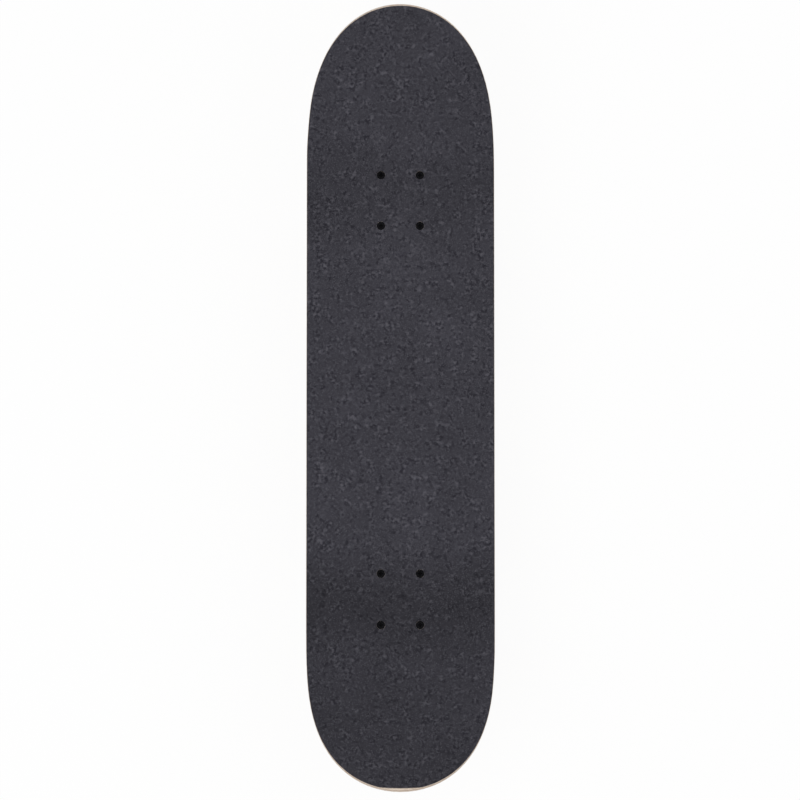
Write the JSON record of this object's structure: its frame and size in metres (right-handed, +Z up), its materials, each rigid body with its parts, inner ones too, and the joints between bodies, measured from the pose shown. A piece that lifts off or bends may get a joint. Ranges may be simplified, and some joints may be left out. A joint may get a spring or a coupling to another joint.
{
  "type": "skateboard",
  "caption": "Street skateboard: dished maple deck with raised nose and tail under grip tape, on two tilting trucks with urethane wheels on ball bearings.",
  "frame": {"origin": "on the ground under the middle of the board's length, midway between its sides", "axes": "+X across the board, +Y towards the nose, +Z up"},
  "size_m": [0.1986, 0.822, 0.139],
  "materials": {
    "maple": "sanded edge",
    "maple_cross": "sanded edge, end grain",
    "maple_bottom": "clear lacquer",
    "grip": "silicon carbide grit on a black sheet",
    "black_steel": "black oxide",
    "zinc_steel": "zinc plated",
    "axle_steel": "ground",
    "bearing_steel": "ground and polished",
    "bearing_shield": "pressed",
    "cage_nylon": "moulded",
    "cast_aluminium": "cast and tumbled",
    "hanger_aluminium": "cast and polished",
    "pivot_urethane": "moulded",
    "bushing_urethane": "cast urethane",
    "wheel_urethane": "cast urethane"
  },
  "bodies": {
    "board": {"deck_ply_1_face": "maple", "deck_ply_2_cross": "maple_cross", "deck_ply_3_core": "maple", "deck_ply_4_core": "maple", "deck_ply_5_core": "maple", "deck_ply_6_cross": "maple_cross", "deck_ply_7_bottom": "maple_bottom", "grip_tape": "grip", "deck_bolts": "black_steel", "deck_lock_nuts": "black_steel", "front_baseplate": "cast_aluminium", "front_pivot_cup": "pivot_urethane", "front_kingpin": "zinc_steel", "front_kingpin_nut": "zinc_steel", "front_barrel_bushing": "bushing_urethane", "front_cone_bushing": "bushing_urethane", "front_board_side_cup_washer": "zinc_steel", "front_road_side_cup_washer": "zinc_steel", "rear_baseplate": "cast_aluminium", "rear_pivot_cup": "pivot_urethane", "rear_kingpin": "zinc_steel", "rear_kingpin_nut": "zinc_steel", "rear_barrel_bushing": "bushing_urethane", "rear_cone_bushing": "bushing_urethane", "rear_board_side_cup_washer": "zinc_steel", "rear_road_side_cup_washer": "zinc_steel"},
    "front_hanger": {"front_hanger": "hanger_aluminium", "front_axle": "axle_steel", "front_axle_nuts": "zinc_steel", "front_speed_washers": "zinc_steel", "front_inner_rings": "bearing_steel", "front_bearing_spacers": "zinc_steel"},
    "front_left_wheel": {"front_left_wheel": "wheel_urethane", "front_left_outer_rings": "bearing_steel", "front_left_shields": "bearing_shield"},
    "front_left_ball_sets": {"front_left_balls": "bearing_steel", "front_left_cages": "cage_nylon"},
    "front_right_wheel": {"front_right_wheel": "wheel_urethane", "front_right_outer_rings": "bearing_steel", "front_right_shields": "bearing_shield"},
    "front_right_ball_sets": {"front_right_balls": "bearing_steel", "front_right_cages": "cage_nylon"},
    "rear_hanger": {"rear_hanger": "hanger_aluminium", "rear_axle": "axle_steel", "rear_axle_nuts": "zinc_steel", "rear_speed_washers": "zinc_steel", "rear_inner_rings": "bearing_steel", "rear_bearing_spacers": "zinc_steel"},
    "rear_left_wheel": {"rear_left_wheel": "wheel_urethane", "rear_left_outer_rings": "bearing_steel", "rear_left_shields": "bearing_shield"},
    "rear_left_ball_sets": {"rear_left_balls": "bearing_steel", "rear_left_cages": "cage_nylon"},
    "rear_right_wheel": {"rear_right_wheel": "wheel_urethane", "rear_right_outer_rings": "bearing_steel", "rear_right_shields": "bearing_shield"},
    "rear_right_ball_sets": {"rear_right_balls": "bearing_steel", "rear_right_cages": "cage_nylon"}
  },
  "joints": [
    {"name": "front_truck_tilt", "type": "hinge", "parent": "board", "child": "front_hanger", "pos_m": [0, 0.19107, 0.042], "axis": [0, 0.9135, 0.4067], "range_deg": [-15, 15], "stiffness_Nm_per_rad": 30, "deforming": ["front_barrel_bushing", "front_cone_bushing"]},
    {"name": "front_left_wheel_spin", "type": "hinge", "parent": "front_hanger", "child": "front_left_wheel", "pos_m": [-0.0778, 0.20907, 0.026], "axis": [1, 0, 0], "continuous": true},
    {"name": "front_left_ball_sets_spin", "type": "hinge", "parent": "front_hanger", "child": "front_left_ball_sets", "pos_m": [-0.0778, 0.20907, 0.026], "axis": [1, 0, 0], "continuous": true},
    {"name": "front_right_wheel_spin", "type": "hinge", "parent": "front_hanger", "child": "front_right_wheel", "pos_m": [0.0778, 0.20907, 0.026], "axis": [1, 0, 0], "continuous": true},
    {"name": "front_right_ball_sets_spin", "type": "hinge", "parent": "front_hanger", "child": "front_right_ball_sets", "pos_m": [0.0778, 0.20907, 0.026], "axis": [1, 0, 0], "continuous": true},
    {"name": "rear_truck_tilt", "type": "hinge", "parent": "board", "child": "rear_hanger", "pos_m": [0, -0.19521, 0.042], "axis": [0, -0.9135, 0.4067], "range_deg": [-15, 15], "stiffness_Nm_per_rad": 30, "deforming": ["rear_barrel_bushing", "rear_cone_bushing"]},
    {"name": "rear_left_wheel_spin", "type": "hinge", "parent": "rear_hanger", "child": "rear_left_wheel", "pos_m": [-0.0778, -0.21321, 0.026], "axis": [1, 0, 0], "continuous": true},
    {"name": "rear_left_ball_sets_spin", "type": "hinge", "parent": "rear_hanger", "child": "rear_left_ball_sets", "pos_m": [-0.0778, -0.21321, 0.026], "axis": [1, 0, 0], "continuous": true},
    {"name": "rear_right_wheel_spin", "type": "hinge", "parent": "rear_hanger", "child": "rear_right_wheel", "pos_m": [0.0778, -0.21321, 0.026], "axis": [1, 0, 0], "continuous": true},
    {"name": "rear_right_ball_sets_spin", "type": "hinge", "parent": "rear_hanger", "child": "rear_right_ball_sets", "pos_m": [0.0778, -0.21321, 0.026], "axis": [1, 0, 0], "continuous": true}
  ],
  "couplings": [
    {"joint": "front_left_ball_sets_spin", "follows": "front_left_wheel_spin", "ratio": 0.6323},
    {"joint": "front_right_ball_sets_spin", "follows": "front_right_wheel_spin", "ratio": 0.6323},
    {"joint": "rear_left_ball_sets_spin", "follows": "rear_left_wheel_spin", "ratio": 0.6323},
    {"joint": "rear_right_ball_sets_spin", "follows": "rear_right_wheel_spin", "ratio": 0.6323}
  ]
}
